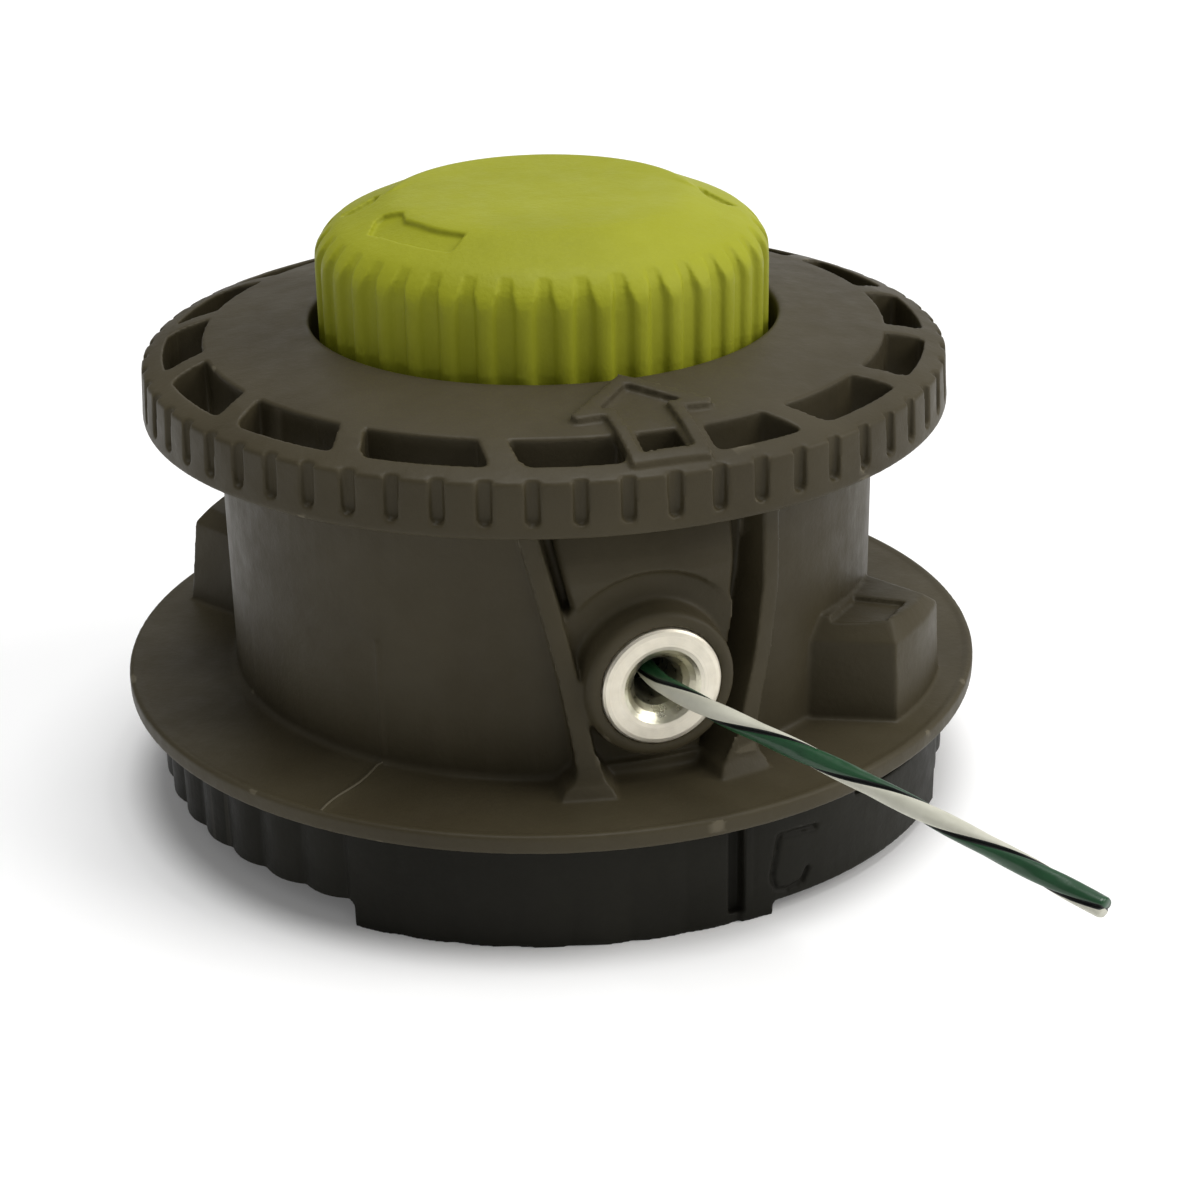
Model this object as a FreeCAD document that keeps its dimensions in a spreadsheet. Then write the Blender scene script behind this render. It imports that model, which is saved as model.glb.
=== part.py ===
import FreeCAD, Part
import math
import os
from FreeCAD import Vector, Rotation, Placement

# Bump feed trimmer head, millimetres, +Z up, origin on the spin axis in the plane that the skirt rests on.
# Azimuth 0 is the front (-Y) and grows towards +X. The knob is on top, the gearbox side is at the bottom.

doc = FreeCAD.newDocument("TrimmerHead")
sheet = doc.addObject("Spreadsheet::Sheet", "Sizes")

TABLE = [
    # black upper housing
    ("skirt_top", 15.1), ("skirt_inner", 51.0), ("lobe_crest", 53.7), ("lobe_valley", 52.9), ("pad_valley", 53.45), ("tab_radius", 54.7),
    ("lobe_pitch", 7.6), ("tab_from", 24.5), ("tab_to", 66.5), ("web_bottom", 6.0), ("web_top", 8.5),
    ("hub_radius", 13.0), ("hub_bottom", 1.2), ("hub_top", 13.5), ("post_radius", 7.5), ("post_top", 48.0),
    ("post_bore", 5.2), ("post_bore_top", 40.0), ("groove_radius", 6.8), ("groove_low", 45.2), ("groove_high", 46.2),
    ("rib_thick", 2.0), ("rib_bottom", 1.5),
    # arbor insert
    ("hex_flats", 17.0), ("insert_bottom", 1.0), ("insert_length", 12.0), ("arbor_radius", 4.32),
    # olive lower housing
    ("disc_radius", 57.5), ("disc_top", 17.5), ("drum_radius", 43.0), ("drum_inner", 40.6), ("drum_top", 52.85),
    ("ring_low_radius", 52.5), ("ring_high_radius", 52.1), ("ring_edge", 59.6), ("hole_radius", 30.4), ("hole_edge", 64.0),
    ("collar_radius", 32.8), ("collar_bottom", 48.0), ("locate_outer", 50.7), ("locate_inner", 48.7), ("locate_bottom", 11.5),
    ("cone_mid_radius", 44.2), ("cone_mid", 62.04), ("cone_low_radius", 49.4), ("cone_low", 60.56),
    ("plate_under_in", 61.1), ("plate_under_out", 59.9),
    # eyelet and its pocket
    ("eye_azimuth", 16.2), ("eye_height", 30.4), ("eye_face", 47.0), ("eye_flange", 7.55), ("eye_mouth", 4.85),
    ("eye_bore", 2.6), ("eye_barrel", 5.4), ("eye_inner", 37.9), ("eye_seat", 45.2), ("boss_radius", 9.4),
    ("boss_face", 46.5), ("step_radius", 13.2), ("step_face", 41.9), ("pocket_wall", 39.8), ("pocket_inner", 37.6),
    # knob
    ("knob_crest", 29.3), ("knob_valley", 28.4), ("knob_skirt", 28.2), ("knob_bottom", 42.0), ("rib_start", 57.0),
    ("side_top", 71.4), ("crown_radius", 17.5), ("crown_top", 79.4), ("knob_ribs", 38),
    # spool
    ("spool_low", 18.8), ("low_flange_top", 20.6), ("divider_low", 29.8), ("divider_top", 31.0), ("top_flange_low", 40.2),
    ("top_flange_top", 42.0), ("spool_radius", 36.6), ("core_outer", 21.0), ("core_inner", 18.8), ("spool_bore", 8.7),
    ("collar_top", 43.5), ("collar_wall", 10.4),
    # cams
    ("cam_teeth", 12), ("low_teeth_in", 24.0), ("low_teeth_out", 30.0), ("low_teeth_tip", 15.4), ("index_base", 9.3),
    ("index_tip", 12.4), ("index_in", 23.0), ("index_out", 31.0), ("high_teeth_in", 30.8), ("high_teeth_out", 34.4),
    ("high_teeth_tip", 45.6), ("drive_tip", 42.4), ("drive_base", 45.9), ("drive_in", 30.4), ("drive_out", 35.6),
    # spring and seat
    ("spring_mean", 9.4), ("spring_wire", 1.6), ("spring_low", 14.5), ("spring_high", 37.7), ("seat_flange", 11.0),
    ("seat_flange_top", 39.2), ("seat_sleeve", 8.3), ("seat_bore", 7.58), ("seat_bottom", 32.0), ("seat_top", 44.0),
    ("thrust_top", 40.1), ("bump_travel", 6.0),
    # screws, line
    ("screw_circle", 14.6), ("screw_shank", 1.6), ("screw_head", 2.8), ("line_diameter", 2.4), ("coil_outer", 33.0),
]
S = {}
for row, (alias, number) in enumerate(TABLE, start=1):
    sheet.set("A%d" % row, alias.replace("_", " "))
    sheet.set("B%d" % row, str(number))
    sheet.setAlias("B%d" % row, alias)
    S[alias] = float(number)
doc.recompute()


def q(text):
    """A sum such as 'drum_radius - 1.4' as (expression on the sheet, value)."""
    total, sign, out = 0.0, 1, []
    for tok in str(text).split():
        if tok in ("+", "-"):
            sign = 1 if tok == "+" else -1
            out.append(tok)
            continue
        value, names = 1.0, []
        for piece in tok.split("*"):
            if piece in S:
                value *= S[piece]
                names.append("Sizes." + piece)
            else:
                value *= float(piece)
                names.append(piece)
        total += sign * value
        out.append("*".join(names))
    return " ".join(out), total


def rad(a):
    return math.radians(a)


def at(az, r, z=0.0):
    """Point at an azimuth and radius."""
    return Vector(r * math.sin(rad(az)), -r * math.cos(rad(az)), z)


def plane_of(body, role):
    return [f for f in body.Origin.OriginFeatures if f.Role == role][0]


def new_body(label):
    b = doc.addObject("PartDesign::Body", label)
    b.Label = label
    return b


def sketch_on(body, name, role, offset=None):
    sk = body.newObject("Sketcher::SketchObject", name)
    sk.AttachmentSupport = [(plane_of(body, role), "")]
    sk.MapMode = "FlatFace"
    if offset is not None:
        sk.setExpression("AttachmentOffset.Base.z", q(offset)[0])
        sk.AttachmentOffset = Placement(Vector(0, 0, q(offset)[1]), Rotation())
    return sk


def profile(body, name, pts, role="XZ_Plane"):
    """Closed outline in the R,z half plane; every corner is bound to the sheet."""
    import Sketcher
    sk = sketch_on(body, name, role)
    vals = [(q(x), q(y)) for x, y in pts]
    n = len(vals)
    for i in range(n):
        (_, x0), (_, y0) = vals[i]
        (_, x1), (_, y1) = vals[(i + 1) % n]
        sk.addGeometry(Part.LineSegment(Vector(x0, y0, 0), Vector(x1, y1, 0)), False)
    cons, exprs = [], []
    for i in range(n):
        cons.append(Sketcher.Constraint("Coincident", i, 2, (i + 1) % n, 1))
    for i in range(n):
        for k, (text, value) in enumerate(vals[i]):
            if abs(value) < 1e-9:
                cons.append(Sketcher.Constraint("PointOnObject", i, 1, -2 if k == 0 else -1))
            else:
                exprs.append((len(cons), text))
                cons.append(Sketcher.Constraint("DistanceX" if k == 0 else "DistanceY", -1, 1, i, 1, value))
    sk.addConstraint(cons)
    for i, text in exprs:
        sk.setExpression("Constraints[%d]" % i, text)
    return sk


def revolved(body, name, pts):
    sk = profile(body, name + "Profile", pts)
    rev = body.newObject("PartDesign::Revolution", name)
    rev.Profile = sk
    rev.ReferenceAxis = (sk, ["V_Axis"])
    rev.Angle = 360.0
    body.Tip = rev
    return rev


def sector_sketch(body, name, low, r0, r1, half_deg, centre_deg=0.0):
    """A keystone outline for a tooth, on a plane at height low."""
    sk = sketch_on(body, name, "XY_Plane", low)
    a0, a1 = centre_deg - half_deg, centre_deg + half_deg
    ra, rb = q(r0)[1], q(r1)[1]
    p = [at(a0, ra), at(a0, rb), at(a1, rb), at(a1, ra)]
    for i in range(4):
        sk.addGeometry(Part.LineSegment(p[i], p[(i + 1) % 4]), False)
    import Sketcher
    cons = [Sketcher.Constraint("Coincident", i, 2, (i + 1) % 4, 1) for i in range(4)]
    exprs = []
    for i in range(4):
        # each corner's distance from the axis follows the sheet, and its direction is fixed
        cons.append(Sketcher.Constraint("Distance", -1, 1, i, 1, ra if i in (0, 3) else rb))
        exprs.append((len(cons) - 1, q(r0 if i in (0, 3) else r1)[0]))
    sk.addConstraint(cons)
    for i, text in exprs:
        sk.setExpression("Constraints[%d]" % i, text)
    return sk


def toothed(body, name, low, height, r0, r1, half_deg, count, centre_deg=0.0, reverse=False):
    sk = sector_sketch(body, name + "Outline", low, r0, r1, half_deg, centre_deg)
    pad = body.newObject("PartDesign::Pad", name)
    pad.Profile = sk
    pad.Reversed = reverse
    pad.setExpression("Length", q(height)[0])
    pad.Length = q(height)[1]
    body.Tip = pad
    doc.recompute()
    pat = body.newObject("PartDesign::PolarPattern", name + "Ring")
    pat.Originals = [pad]
    pat.Axis = (sk, ["N_Axis"])
    pat.Angle = 360.0
    pat.Occurrences = count
    body.Tip = pat
    return pat


def feature(name, shape, label=None):
    f = doc.addObject("Part::Feature", name)
    f.Shape = shape
    if label:
        f.Label = label
    return f


def cylinder(name, radius, low, height, x=0.0, y=0.0):
    c = doc.addObject("Part::Cylinder", name)
    c.setExpression("Radius", q(radius)[0])
    c.setExpression("Height", q(height)[0])
    c.Radius, c.Height = q(radius)[1], q(height)[1]
    c.Placement = Placement(Vector(x, y, q(low)[1]), Rotation())
    return c


def joined(kind, name, first, rest):
    """Part::Cut or Part::Fuse of a base and one tool or several."""
    if len(rest) > 1:
        m = doc.addObject("Part::MultiFuse", name + "Tools")
        m.Shapes = rest
        tool = m
    else:
        tool = rest[0]
    b = doc.addObject(kind, name)
    b.Base, b.Tool = first, tool
    return b


def ring_solid(r0, r1, z0, z1, a0=None, a1=None):
    """Ring or ring sector from its sizes; azimuths in degrees."""
    face_wire = Part.makePolygon([Vector(r0, 0, z0), Vector(r1, 0, z0), Vector(r1, 0, z1), Vector(r0, 0, z1), Vector(r0, 0, z0)])
    face = Part.Face(face_wire)
    if a0 is None:
        return face.revolve(Vector(0, 0, 0), Vector(0, 0, 1), 360.0)
    s = face.revolve(Vector(0, 0, 0), Vector(0, 0, 1), a1 - a0)
    s.rotate(Vector(0, 0, 0), Vector(0, 0, 1), a0 - 90.0)
    return s


def revolve_outline(pts):
    w = Part.makePolygon([Vector(r, 0, z) for r, z in pts] + [Vector(pts[0][0], 0, pts[0][1])])
    return Part.Face(w).revolve(Vector(0, 0, 0), Vector(0, 0, 1), 360.0)


def prism(points, z0, z1):
    w = Part.makePolygon([Vector(p.x, p.y, z0) for p in points] + [Vector(points[0].x, points[0].y, z0)])
    return Part.Face(w).extrude(Vector(0, 0, z1 - z0))


def radial_frame(az, z, r=0.0):
    """Placement whose +Z runs radially outwards at an azimuth, +X to greater azimuth, +Y up."""
    e = at(az, 1.0)
    t = Vector(math.cos(rad(az)), math.sin(rad(az)), 0)
    up = Vector(0, 0, 1)
    m = FreeCAD.Matrix(t.x, up.x, e.x, e.x * r, t.y, up.y, e.y, e.y * r, t.z, up.z, e.z, z, 0, 0, 0, 1)
    return Placement(m)


def turned(shape, deg):
    s = shape.copy()
    s.rotate(Vector(0, 0, 0), Vector(0, 0, 1), deg)
    return s


def fuse_all(shapes):
    s = shapes[0]
    return s.multiFuse(shapes[1:]) if len(shapes) > 1 else s


NODES = []


def node(obj, label):
    obj.Label = label
    NODES.append((label, obj))
    return obj


# ---------------------------------------------------------------------------------------------- upper housing (black)
# One moulding: scalloped skirt, web, hub, ribs under the web, and the centre post.
def skirt_outline():
    pts = []
    for half in (0.0, 180.0):
        az = S["tab_to"] - 180.0 + half
        end = S["tab_from"] + half
        step = 0.475
        n = int(round((end - az) / step))
        for i in range(n + 1):
            a = az + (end - az) * i / n
            u = ((S["tab_from"] + half - a) / S["lobe_pitch"]) % 1.0
            r = S["lobe_valley"] + (S["lobe_crest"] - S["lobe_valley"]) * math.sin(math.pi * u) ** 0.8
            pts.append(at(a, r))
        a0, a1 = S["tab_from"] + half, S["tab_to"] + half
        for i in range(1, 24):
            a = a0 + (a1 - a0) * i / 24.0
            pts.append(at(a, S["tab_radius"]))
    return pts


def skirt_solid():
    """Outer wall: straight lobes and plain tab sectors, exact arcs between corner points."""
    edges = []
    for half in (0.0, 180.0):
        valleys = []
        k = 0
        while S["tab_from"] - k * S["lobe_pitch"] > S["tab_to"] - 180.0 + 1.0:
            valleys.append(S["tab_from"] - k * S["lobe_pitch"])
            k += 1
        valleys.append(S["tab_to"] - 180.0)
        valleys = [v + half for v in valleys][::-1]
        first = at(valleys[0], S["tab_radius"])
        edges.append(Part.LineSegment(first, at(valleys[0], S["lobe_valley"])).toShape())
        low = S["lobe_valley"]
        for a, b in zip(valleys[:-1], valleys[1:]):
            m = 0.5 * (a + b)
            if a - half > -29.0 and low < S["pad_valley"]:
                # the part that stands on the ground has only shallow lobes
                edges.append(Part.LineSegment(at(a, low), at(a, S["pad_valley"])).toShape())
                low = S["pad_valley"]
            crest = low + (S["lobe_crest"] - low) * min(1.0, (b - a) / S["lobe_pitch"])
            edges.append(Part.Arc(at(a, low), at(m, crest), at(b, low)).toShape())
        last = valleys[-1]
        edges.append(Part.LineSegment(at(last, low), at(last, S["tab_radius"] - 0.75)).toShape())
        span = S["tab_to"] - S["tab_from"]
        edges.append(Part.Arc(at(last, S["tab_radius"] - 0.75), at(last + span / 2, S["tab_radius"] - 0.12), at(last + span, S["tab_radius"])).toShape())
    wire = Part.Wire(Part.__sortEdges__(edges))
    return Part.Face(wire).extrude(Vector(0, 0, S["skirt_top"]))


skirt = feature("SkirtWall", skirt_solid())

core = new_body("UpperCore")
revolved(core, "CoreTurned", [
    ("0", "post_bore_top"), ("post_bore", "post_bore_top"), ("post_bore", "insert_bottom + insert_length"),
    ("post_radius - 0.5", "insert_bottom + insert_length"), ("post_radius - 0.5", "hub_bottom"),
    ("hub_radius", "hub_bottom"), ("hub_radius", "web_bottom"), ("skirt_inner + 0.8", "web_bottom"),
    ("skirt_inner + 0.8", "web_top"), ("hub_radius", "web_top"), ("hub_radius", "hub_top - 0.5"),
    ("hub_radius - 0.5", "hub_top"), ("post_radius", "hub_top"), ("post_radius", "groove_low"),
    ("groove_radius", "groove_low"), ("groove_radius", "groove_high"), ("post_radius", "groove_high"),
    ("post_radius", "post_top - 0.8"), ("post_radius - 0.8", "post_top"), ("0", "post_top")])
doc.recompute()

skirt_bore = doc.addObject("Part::Cylinder", "SkirtBore")
skirt_bore.setExpression("Radius", "Sizes.skirt_inner")
skirt_bore.setExpression("Height", "Sizes.skirt_top + 2")
skirt_bore.Placement = Placement(Vector(0, 0, -1), Rotation())

# lower edges that stop short of the resting plane, grooves of the latch tabs, slit and hook mark
cuts = []
for half in (0.0, 180.0):
    cuts.append(ring_solid(S["skirt_inner"] - 0.5, 58.0, -1.0, 3.2, S["tab_to"] - 180.0 + half, -28.0 + half))
    cuts.append(ring_solid(S["skirt_inner"] - 0.5, 58.0, -1.0, 1.7, 29.3 + half, S["tab_to"] + half))
    cuts.append(ring_solid(52.3, 56.0, 1.3, 13.6, 22.8 + half, 24.9 + half))
    cuts.append(ring_solid(53.5, 56.0, 3.0, 13.2, 25.9 + half, 26.4 + half))
    cuts.append(ring_solid(53.3, 56.0, 1.0, 13.2, 66.0 + half, 67.1 + half))
    cuts.append(ring_solid(52.9, 56.0, 12.3, 13.2, 43.0 + half, 66.5 + half))
    hook = [(36.0, 10.4), (30.0, 10.8), (29.3, 6.9), (29.0, 5.2), (29.6, 3.3), (31.3, 2.9), (33.8, 3.3), (34.8, 5.1)]
    for a, b in zip(hook[:-1], hook[1:]):
        mid = 0.5 * (a[0] + b[0]) + half
        du = rad(b[0] - a[0]) * S["tab_radius"]
        dz = b[1] - a[1]
        length = math.hypot(du, dz)
        bar = Part.makeBox(length + 0.35, 0.7, 1.9, Vector(-(length + 0.35) / 2, -0.35, 0))
        bar.rotate(Vector(0, 0, 0), Vector(0, 0, 1), math.degrees(math.atan2(dz, du)))
        bar.Placement = radial_frame(mid, 0.5 * (a[1] + b[1]), S["tab_radius"] - 1.05).multiply(bar.Placement)
        cuts.append(bar)
skirt_cuts = feature("SkirtCuts", fuse_all(cuts))

ribs = []
for k in range(8):
    a = 22.5 + 45.0 * k
    bar = Part.makeBox(S["rib_thick"], S["skirt_inner"] + 0.6 - S["hub_radius"] + 0.6, S["web_bottom"] + 0.5 - S["rib_bottom"],
                       Vector(-S["rib_thick"] / 2, S["hub_radius"] - 0.6, S["rib_bottom"]))
    bar.rotate(Vector(0, 0, 0), Vector(0, 0, 1), a)
    # the ribs' outer ends stand clear of the raised lower edges
    lift = ring_solid(49.0, 58.0, 0.0, 4.0)
    ribs.append(bar.cut(lift))
web_ribs = feature("WebRibs", fuse_all(ribs))

wall = joined("Part::Cut", "SkirtTube", skirt, [skirt_bore])
body_up = joined("Part::Fuse", "UpperJoined", wall, [core, web_ribs])
hexa = doc.addObject("Part::Prism", "InsertPocket")
hexa.Polygon = 6
hexa.setExpression("Circumradius", "Sizes.hex_flats / 2 / cos(30)")
hexa.setExpression("Height", "Sizes.insert_length + 1")
hexa.Placement = Placement(Vector(0, 0, S["insert_bottom"] - 1.0), Rotation())
pilots = []
for k in range(4):
    p = at(45.0 + 90.0 * k, 33.6)
    pilots.append(Part.makeCylinder(1.27, 4.0, Vector(p.x, p.y, S["web_bottom"] - 0.5)))
pilot_holes = feature("PilotHoles", Part.makeCompound(pilots))
upper = joined("Part::Cut", "UpperHousing", body_up, [skirt_cuts, hexa, pilot_holes])
node(upper, "upper_housing")

# ---------------------------------------------------------------------------------------------- arbor insert (steel)
insert = new_body("ArborInsert")
sk = sketch_on(insert, "HexOutline", "XY_Plane", "insert_bottom")
rc = S["hex_flats"] / 2 / math.cos(rad(30))
hexpts = [Vector(rc * math.cos(rad(60 * i)), rc * math.sin(rad(60 * i)), 0) for i in range(6)]
import Sketcher
for i in range(6):
    sk.addGeometry(Part.LineSegment(hexpts[i], hexpts[(i + 1) % 6]), False)
cons = [Sketcher.Constraint("Coincident", i, 2, (i + 1) % 6, 1) for i in range(6)]
cons += [Sketcher.Constraint("Distance", -1, 1, i, 1, rc) for i in range(6)]
cons += [Sketcher.Constraint("Equal", 0, i) for i in range(1, 5)]
sk.addConstraint(cons)
for i in range(6, 12):
    sk.setExpression("Constraints[%d]" % i, "Sizes.hex_flats / 2 / cos(30)")
pad = insert.newObject("PartDesign::Pad", "HexPad")
pad.Profile = sk
pad.setExpression("Length", "Sizes.insert_length")
insert.Tip = pad
doc.recompute()
v0 = insert.Shape.Volume
sk2 = sketch_on(insert, "ThreadCircle", "XY_Plane", "insert_bottom")
sk2.addGeometry(Part.Circle(Vector(0, 0, 0), Vector(0, 0, 1), S["arbor_radius"]), False)
sk2.addConstraint(Sketcher.Constraint("Coincident", 0, 3, -1, 1))
sk2.addConstraint(Sketcher.Constraint("Radius", 0, S["arbor_radius"]))
sk2.setExpression("Constraints[1]", "Sizes.arbor_radius")
poc = insert.newObject("PartDesign::Pocket", "ThreadBore")
poc.Profile = sk2
poc.Reversed = True
poc.setExpression("Length", "Sizes.insert_length")
insert.Tip = poc
doc.recompute()
print("insert bore removes", round(v0 - insert.Shape.Volume, 2), "expected", round(math.pi * S["arbor_radius"] ** 2 * S["insert_length"], 2))
node(insert, "arbor_insert")

# ---------------------------------------------------------------------------------------------- lower housing (olive)
shell = new_body("LowerShell")
revolved(shell, "ShellTurned", [
    ("drum_inner", "skirt_top"), ("locate_inner", "skirt_top"), ("locate_inner", "locate_bottom + 0.4"),
    ("locate_inner + 0.4", "locate_bottom"), ("locate_outer - 0.4", "locate_bottom"),
    ("locate_outer", "locate_bottom + 0.4"), ("locate_outer", "skirt_top"), ("disc_radius - 0.25", "skirt_top"),
    ("disc_radius", "skirt_top + 0.25"), ("disc_radius", "disc_top - 0.35"), ("disc_radius - 0.1", "disc_top - 0.1"),
    ("disc_radius - 0.35", "disc_top"), ("disc_radius - 0.9", "disc_top"), ("disc_radius - 1.15", "disc_top - 0.2"),
    ("drum_radius + 0.75", "disc_top - 0.2"), ("drum_radius + 0.3", "disc_top - 0.05"),
    ("drum_radius + 0.08", "disc_top + 0.2"), ("drum_radius", "disc_top + 0.6"),
    ("drum_radius", "drum_top"), ("ring_low_radius - 0.2", "drum_top"), ("ring_low_radius", "drum_top + 0.2"),
    ("ring_high_radius + 0.02", "ring_edge - 0.25"), ("ring_high_radius - 0.07", "ring_edge - 0.06"),
    ("ring_high_radius - 0.3", "ring_edge + 0.07"), ("cone_low_radius", "cone_low"),
    ("0.5*cone_low_radius + 0.5*cone_mid_radius", "0.5*cone_low + 0.5*cone_mid + 0.14"), ("cone_mid_radius", "cone_mid"),
    ("hole_radius + 0.7", "hole_edge - 0.1"), ("hole_radius + 0.2", "hole_edge - 0.22"), ("hole_radius", "hole_edge - 0.6"),
    ("hole_radius", "collar_bottom"), ("collar_radius", "collar_bottom"), ("collar_radius", "plate_under_in"),
    ("drum_inner", "plate_under_out")])
doc.recompute()


def cone_z(r):
    pts = [(S["hole_radius"], S["hole_edge"]), (S["cone_mid_radius"], S["cone_mid"]), (S["cone_low_radius"], S["cone_low"]),
           (S["ring_high_radius"], S["ring_edge"])]
    for (r0, z0), (r1, z1) in zip(pts[:-1], pts[1:]):
        if r <= r1:
            return z0 + (z1 - z0) * (r - r0) / (r1 - r0)
    return pts[-1][1]


# gussets: thin radial plates that follow a slanted line down the drum, with a wider foot
def gusset(track):
    """track: rows of height, centre azimuth, outer radius, width."""
    wires = []
    for z, az, ro, width in track:
        e, t = at(az, 1.0), Vector(math.cos(rad(az)), math.sin(rad(az)), 0)
        p = [e * 38.6 - t * (width / 2), e * ro - t * (width / 2), e * ro + t * (width / 2), e * 38.6 + t * (width / 2)]
        p = [Vector(v.x, v.y, z) for v in p]
        wires.append(Part.makePolygon(p + [p[0]]))
    return Part.makeLoft(wires, True, True)


def along(pts, z):
    for (z0, a0), (z1, a1) in zip(pts[:-1], pts[1:]):
        if z <= z1:
            return a0 + (a1 - a0) * (z - z0) / (z1 - z0)
    return pts[-1][1]


def left_az(z):
    return along([(17.5, 5.5), (23.7, 4.4), (31.5, 2.75), (39.2, 0.5), (46.8, -2.05), (52.85, -4.05)], z)


def right_az(z):
    return along([(17.5, 28.3), (25.0, 30.9), (32.0, 33.7), (40.0, 36.1), (52.85, 37.7)], z)


def gusset_radius(z):
    return 43.4 + (52.85 - z) / (52.85 - 18.7) * 4.0


LEVELS = [52.9, 48.0, 44.0, 40.0, 36.0, 32.0, 28.5, 25.0]
LEFT_FOOT = [(22.8, 0.0, 0.0), (20.6, 0.1, 0.05), (19.6, 0.4, 0.15), (18.9, 1.2, 0.4), (18.3, 2.8, 0.9), (17.2, 4.3, 1.6)]
RIGHT_FOOT = [(22.8, 0.1, 0.0), (21.2, 0.4, 0.05), (20.0, 1.0, 0.15), (19.1, 1.9, 0.35), (18.4, 3.1, 0.8), (17.2, 4.0, 1.6)]
gussets = []
for track, lean, width, foot in ((left_az, -0.85, 3.0, LEFT_FOOT), (right_az, 0.2, 3.3, RIGHT_FOOT)):
    rows = [(z, track(min(z, 52.85)), gusset_radius(z), width) for z in LEVELS]
    rows += [(z, track(max(z, 17.5)) + lean * w / 4.3, gusset_radius(max(z, 18.7)) + more, width + w) for z, w, more in foot]
    gussets.append(gusset(rows))

# eyelet pocket: cut between the gussets, then boss, step and hood stand in it
edge_l = [(z, left_az(z) + 1.2) for z in (18.9, 25.0, 32.0, 40.0, 51.9)]
edge_r = [(z, right_az(z) - 1.2) for z in (51.9, 40.0, 32.0, 25.0, 18.9)]
wires = []
for r in (S["pocket_wall"], 46.0):
    ring = [at(a, r, z) for z, a in edge_l + edge_r]
    wires.append(ring)


def pocket_solid(inner):
    """Between the gussets, from the pocket's back wall outwards."""
    rows = []
    for z, m in ((18.9, 2.9), (19.6, 2.2), (20.8, 1.6), (22.6, 1.25), (25.0, 1.2), (28.5, 1.2), (32.0, 1.2), (36.0, 1.2), (40.0, 1.2),
                 (44.0, 1.2), (48.0, 1.2), (51.9, 1.2)):
        a0, a1 = left_az(z) + m, right_az(z) - m
        n = 4
        inner_pts = [at(a0 + (a1 - a0) * i / n, inner, z) for i in range(n + 1)]
        outer_pts = [at(a1 + (a0 - a1) * i / n, 47.0, z) for i in range(n + 1)]
        rows.append(inner_pts + outer_pts)
    return Part.makeLoft([Part.makePolygon(r + [r[0]]) for r in rows], True, True)


pocket = pocket_solid(S["pocket_wall"])
thick = ring_solid(S["pocket_inner"], S["drum_inner"] + 0.6, S["skirt_top"], 55.0, -6.4, 40.4)

zc, ac = S["eye_height"], S["eye_azimuth"]


def radial_turned(pts, az=None):
    """Turned about the eyelet's axis: pts are radius and distance from the head's axis."""
    w = Part.makePolygon([Vector(r, 0, d) for r, d in pts] + [Vector(pts[0][0], 0, pts[0][1])])
    s = Part.Face(w).revolve(Vector(0, 0, 0), Vector(0, 0, 1), 360.0)
    s.Placement = radial_frame(S["eye_azimuth"] if az is None else az, S["eye_height"])
    return s


sr, sf, br, bf = S["step_radius"], S["step_face"], S["boss_radius"], S["boss_face"]
step = radial_turned([(0, 38.8), (sr + 0.2, 38.8), (sr + 0.2, sf - 0.3), (sr, sf), (0, sf)])
rows = []
for z in (16.9, 20.0, 25.0, 28.5, 32.0, 36.0, 40.0, 44.0):
    zz = max(z, 17.5)
    a0, a1 = left_az(zz) - 2.0, min(right_az(zz) - 4.0, 30.45)
    rows.append([at(a0 + (a1 - a0) * i / 4, 37.5, z) for i in range(5)] + [at(a1 + (a0 - a1) * i / 4, 47.0, z) for i in range(5)])
step = step.common(Part.makeLoft([Part.makePolygon(r + [r[0]]) for r in rows], True, True))
boss = radial_turned([(0, 39.0), (br + 0.5, 39.0), (br + 0.5, sf), (br + 0.1, sf + 0.3), (br, sf + 0.8), (br, bf - 0.8),
                      (br - 0.25, bf - 0.25), (br - 0.8, bf), (0, bf)])
# hood: from the sunk ring up and back to the pocket's wall; its left edge runs beside the left gusset
HOOD = [(35.0, left_az(35.0) + 2.8, 30.6, 43.1), (39.2, left_az(39.2) + 2.8, 30.7, 43.1), (43.1, left_az(43.1) + 2.8, 31.3, 43.0),
        (45.4, left_az(45.4) + 2.8, 31.8, 42.4), (48.6, left_az(48.6) + 2.8, 32.5, 41.2), (51.7, left_az(51.7) + 2.8, 33.4, 39.95)]
hood_rows = []
for z, a0, a1, ro in HOOD:
    ins = [at(a0 + (a1 - a0) * i / 6.0, 38.9, z) for i in range(7)]
    soft = 0.8
    out = [at(a1, ro - 0.6, z)] + [at(a1 - soft + (a0 - a1 + 2 * soft) * i / 6.0, ro, z) for i in range(7)] + [at(a0, ro - 0.6, z)]
    p = ins + out
    hood_rows.append(Part.makePolygon(p + [p[0]]))
hood = Part.makeLoft(hood_rows, True, True).cut(radial_turned([(0, sf), (sr - 0.25, sf), (sr - 0.1, sf + 0.4), (sr + 0.45, sf + 1.4), (sr + 0.45, 49.0), (0, 49.0)]))

seat = radial_turned([(0, 36.0), (S["eye_barrel"], 36.0), (S["eye_barrel"], S["eye_seat"]),
                      (S["eye_flange"] + 0.05, S["eye_seat"]), (S["eye_flange"] + 0.05, 50.0), (0, 50.0)])


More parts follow.
